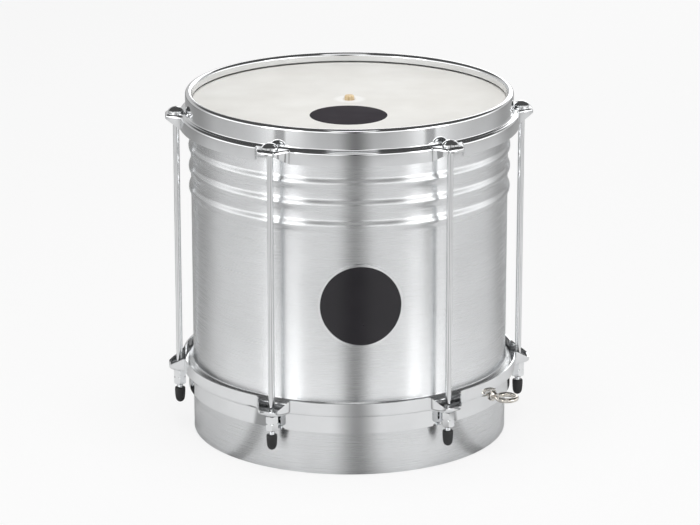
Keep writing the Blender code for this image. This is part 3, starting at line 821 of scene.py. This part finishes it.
def brushed(name, colour, roughness):
    """Aluminium brushed round the drum: fine lines at each height, with faint handling marks."""
    graph = Graph(name)
    lines = graph.noise(60.0, 6.0, (0.3, 0.3, 150.0))
    marks = graph.noise(22.0, 5.0)
    base = graph.ramp(marks, [(0.3, tuple(0.93 * c for c in colour)), (0.7, colour)])
    graph.link(base, graph.shader.inputs["Base Color"])
    graph.link(graph.range(lines, roughness - 0.01, roughness + 0.015), graph.shader.inputs["Roughness"])
    graph.value("Metallic", 1.0)
    graph.value("Anisotropic", 0.80)
    graph.value("Anisotropic Rotation", 0.25)
    tangent = graph.add("ShaderNodeTangent", direction_type="RADIAL", axis="Z")
    graph.link(tangent.outputs["Tangent"], graph.shader.inputs["Tangent"])
    graph.bump(lines, 0.025, 0.0001)
    return graph.material


def plated(name, colour, roughness):
    """Bright plating with a faint waviness and a few dull smears."""
    graph = Graph(name)
    smears = graph.noise(35.0, 6.0)
    base = graph.ramp(smears, [(0.35, tuple(0.94 * c for c in colour)), (0.65, colour)])
    graph.link(base, graph.shader.inputs["Base Color"])
    graph.link(graph.range(smears, roughness, roughness + 0.07), graph.shader.inputs["Roughness"])
    graph.value("Metallic", 1.0)
    graph.bump(graph.noise(70.0, 2.0), 0.04, 0.0003)
    return graph.material


def goatskin():
    """Mottled off-white skin with the printed disc, left bare, and a whiter patch of glue."""
    graph = Graph("goatskin_head")
    mottle = graph.noise(28.0, 8.0)
    veins = graph.noise(9.0, 10.0)
    skin = graph.ramp(mottle, [(0.3, (0.73, 0.725, 0.70)), (0.7, (0.82, 0.82, 0.80))])
    skin = graph.mix(graph.range(veins, 0.0, 0.35), skin, (0.68, 0.64, 0.57))
    split = graph.add("ShaderNodeSeparateXYZ")
    graph.link(graph.place, split.inputs["Vector"])

    def distance_from(centre):
        dx = graph.math("SUBTRACT", split.outputs["X"], centre[0])
        dy = graph.math("SUBTRACT", split.outputs["Y"], centre[1])
        squares = graph.math("ADD", graph.math("MULTIPLY", dx, dx), graph.math("MULTIPLY", dy, dy))
        return graph.math("SQRT", squares)

    ragged = graph.math("ADD", distance_from((0.0, 0.0)), graph.math("MULTIPLY", mottle, 0.004))
    glue = graph.math("SUBTRACT", 1.0, share(graph.tree, ragged, GLUE_RADIUS - 0.003, GLUE_RADIUS + 0.003))
    skin = graph.mix(graph.math("MULTIPLY", glue, 0.7), skin, (0.90, 0.90, 0.89))
    ink = graph.math("LESS_THAN", distance_from(DISC_CENTRE), DISC_RADIUS)
    skin = graph.mix(ink, skin, (0.012, 0.008, 0.014))
    graph.link(graph.range(ink, 0.5, 0.15), graph.shader.inputs["Specular IOR Level"])
    graph.link(skin, graph.shader.inputs["Base Color"])
    graph.link(graph.range(mottle, 0.5, 0.72), graph.shader.inputs["Roughness"])
    graph.bump(mottle, 0.25, 0.0003)
    return graph.material


def plain(name, dark, light, roughness, scale, stretch=(1, 1, 1), bump=0.2):
    """Rubber, enamel, bamboo and thread: two close colours, mixed by a grain."""
    graph = Graph(name)
    grain = graph.noise(scale, 6.0, stretch)
    graph.link(graph.ramp(grain, [(0.35, dark), (0.65, light)]), graph.shader.inputs["Base Color"])
    graph.link(graph.range(grain, roughness - 0.06, roughness + 0.06), graph.shader.inputs["Roughness"])
    graph.bump(grain, bump, 0.0002)
    return graph.material


def light(name, location, size, power, target=(0, 0, 0.14)):
    data = bpy.data.lights.new(name, "AREA")
    data.shape = "RECTANGLE"
    data.size, data.size_y = size
    data.energy = power
    obj = bpy.data.objects.new(name, data)
    bpy.context.scene.collection.objects.link(obj)
    obj.location = location
    obj.rotation_euler = (Vector(target) - Vector(location)).to_track_quat("-Z", "Y").to_euler()
    return obj


def panels(tree, direction):
    """How bright the studio is in each direction from the drum: tall white panels with gaps between
    them, and a dark room behind."""
    split = tree.nodes.new("ShaderNodeSeparateXYZ")
    tree.links.new(direction, split.inputs["Vector"])
    towards_front = calculate(tree, "MULTIPLY", split.outputs["Y"], -1.0)
    side = calculate(tree, "ABSOLUTE", split.outputs["X"])
    angle = calculate(tree, "ARCTAN2", side, towards_front)
    brightness = share(tree, angle, *FRONT_GAP)
    for start, end in PANEL_GAPS:
        middle = (start + end) / 2
        off = calculate(tree, "ABSOLUTE", calculate(tree, "SUBTRACT", angle, middle))
        beside = share(tree, off, (end - start) / 4, end - middle)
        brightness = calculate(tree, "MULTIPLY", brightness, beside)
    dimmed = calculate(tree, "MULTIPLY", share(tree, angle, *BEHIND), 1.0 - BACK_BRIGHTNESS)
    behind = calculate(tree, "SUBTRACT", 1.0, dimmed)
    brightness = calculate(tree, "MULTIPLY", brightness, behind)
    return brightness, split.outputs["Z"]


def overhead(tree, direction):
    """A narrow panel high in front of the drum, which draws a short bright line on the rim and shoulder."""
    split = tree.nodes.new("ShaderNodeSeparateXYZ")
    tree.links.new(direction, split.inputs["Vector"])
    low, high = OVERHEAD_HEIGHT
    above = share(tree, split.outputs["Z"], low - EDGE_SOFTNESS, low)
    below = calculate(tree, "SUBTRACT", 1.0, share(tree, split.outputs["Z"], high, high + EDGE_SOFTNESS))
    side = calculate(tree, "ABSOLUTE", split.outputs["X"])
    beside = share(tree, side, OVERHEAD_HALF_WIDTH - EDGE_SOFTNESS, OVERHEAD_HALF_WIDTH)
    inside = calculate(tree, "SUBTRACT", 1.0, beside)
    in_front = calculate(tree, "LESS_THAN", split.outputs["Y"], 0.0)
    lit = calculate(tree, "MULTIPLY", calculate(tree, "MULTIPLY", above, below), inside)
    return calculate(tree, "MULTIPLY", calculate(tree, "MULTIPLY", lit, in_front), OVERHEAD_BRIGHTNESS)


def seen_white(tree, shader, target, amount):
    """Mixes that much white in where the camera sees it directly. Every other ray sees the shader."""
    path = tree.nodes.new("ShaderNodeLightPath")
    white = tree.nodes.new("ShaderNodeEmission")
    white.inputs["Color"].default_value = (1.0, 1.0, 1.0, 1.0)
    white.inputs["Strength"].default_value = 1.0
    mix = tree.nodes.new("ShaderNodeMixShader")
    tree.links.new(calculate(tree, "MULTIPLY", path.outputs["Is Camera Ray"], amount), mix.inputs["Fac"])
    tree.links.new(shader, mix.inputs[1])
    tree.links.new(white.outputs["Emission"], mix.inputs[2])
    tree.links.new(mix.outputs["Shader"], target)


def studio():
    bpy.ops.mesh.primitive_plane_add(size=12.0, location=(0, 0, -0.0003))
    floor = bpy.context.object
    floor.name = "floor"
    graph = Graph("white_floor")
    tree = graph.tree
    path = graph.add("ShaderNodeLightPath")
    # Painted panel light and shade: the floor's colour copies the panels' brightness by direction from the
    # drum, so the metal reflects it; the camera sees it plain pale
    lit, _ = panels(tree, graph.place)
    painted_panel_light = graph.mix(lit, FLOOR_PAINTED_SHADE, FLOOR_PALE)
    colour = graph.mix(path.outputs["Is Camera Ray"], painted_panel_light, FLOOR_PALE)
    graph.link(colour, graph.shader.inputs["Base Color"])
    graph.value("Roughness", 0.9)
    from_above = graph.add("ShaderNodeMixShader")
    seen_white(tree, graph.shader.outputs["BSDF"], from_above.inputs[1], 0.85)
    clear = graph.add("ShaderNodeBsdfTransparent")
    graph.link(clear.outputs["BSDF"], from_above.inputs[2])
    from_centre = graph.add("ShaderNodeVectorMath", operation="LENGTH")
    graph.link(graph.place, from_centre.inputs[0])
    under_shell = graph.math("LESS_THAN", from_centre.outputs["Value"], SHELL_RADIUS - SHELL_WALL)
    backfacing = graph.add("ShaderNodeNewGeometry").outputs["Backfacing"]
    graph.link(graph.math("MAXIMUM", backfacing, under_shell), from_above.inputs["Fac"])
    graph.link(from_above.outputs["Shader"], tree.nodes["Material Output"].inputs["Surface"])
    floor.data.materials.append(graph.material)
    world = bpy.data.worlds.new("studio")
    world.use_nodes = True
    bpy.context.scene.world = world
    tree = world.node_tree
    background = tree.nodes["Background"]
    place = tree.nodes.new("ShaderNodeTexCoord")
    lit, height = panels(tree, place.outputs["Generated"])
    ceiling = calculate(tree, "SUBTRACT", 1.0, share(tree, height, *CEILING))
    lit = calculate(tree, "MULTIPLY", calculate(tree, "MULTIPLY", lit, ceiling), PANEL_BRIGHTNESS)
    lit = calculate(tree, "ADD", lit, overhead(tree, place.outputs["Generated"]))
    tree.links.new(calculate(tree, "ADD", lit, ROOM_BRIGHTNESS), background.inputs["Color"])
    output = tree.nodes["World Output"]
    seen_white(tree, background.outputs["Background"], output.inputs["Surface"], 1.0)
    light("left_softbox", (-1.55, -1.25, 0.65), (1.0, 1.4), 7)
    light("right_softbox", (1.55, -1.25, 0.65), (1.0, 1.4), 7)
    top = light("top_softbox", (0.0, -0.2, 1.9), (1.2, 1.0), 22)
    top.visible_glossy = False
    light("back_softbox", (0.6, 1.9, 0.9), (1.2, 1.2), 6)


def camera():
    data = bpy.data.cameras.new("camera")
    data.lens = CAMERA_LENS
    data.sensor_width = 36.0
    obj = bpy.data.objects.new("camera", data)
    bpy.context.scene.collection.objects.link(obj)
    flat = CAMERA_DISTANCE * math.cos(CAMERA_ELEVATION)
    offset = Vector((flat * math.sin(CAMERA_AZIMUTH), -flat * math.cos(CAMERA_AZIMUTH),
                     CAMERA_DISTANCE * math.sin(CAMERA_ELEVATION)))
    target = Vector(CAMERA_TARGET)
    obj.location = target + offset
    obj.rotation_euler = (-offset).to_track_quat("-Z", "Y").to_euler()
    bpy.context.scene.camera = obj


studio()
camera()
bpy.context.scene.view_settings.view_transform = "Standard"
shell_finish = brushed("brushed_shell", (0.80, 0.81, 0.82), 0.27)
chrome = plated("mirror_chrome", (0.88, 0.89, 0.90), 0.03)
nickel = plated("bright_nickel", (0.80, 0.76, 0.70), 0.10)
zinc = plated("zinc_plate", (0.62, 0.63, 0.64), 0.30)
rubber = plain("black_rubber_cap", (0.010, 0.010, 0.011), (0.020, 0.020, 0.021), 0.55, 90.0)
enamel = plain("bare_enamel", (0.010, 0.009, 0.012), (0.014, 0.012, 0.016), 0.22, 60.0, bump=0.05)
bamboo = plain("scraped_bamboo", (0.58, 0.42, 0.22), (0.78, 0.62, 0.40), 0.48, 40.0, (14, 14, 0.6))
thread = plain("waxed_thread", (0.62, 0.55, 0.40), (0.82, 0.76, 0.62), 0.65, 90.0, (1, 1, 12))
make_shell(shell_finish)
make_head(goatskin(), zinc)
make_top_hoop(chrome)
make_lower_hoop(chrome)
make_tuning(chrome, zinc, rubber)
make_strap_eye(nickel, zinc)
make_badge(chrome, enamel)
make_stick(bamboo, thread)
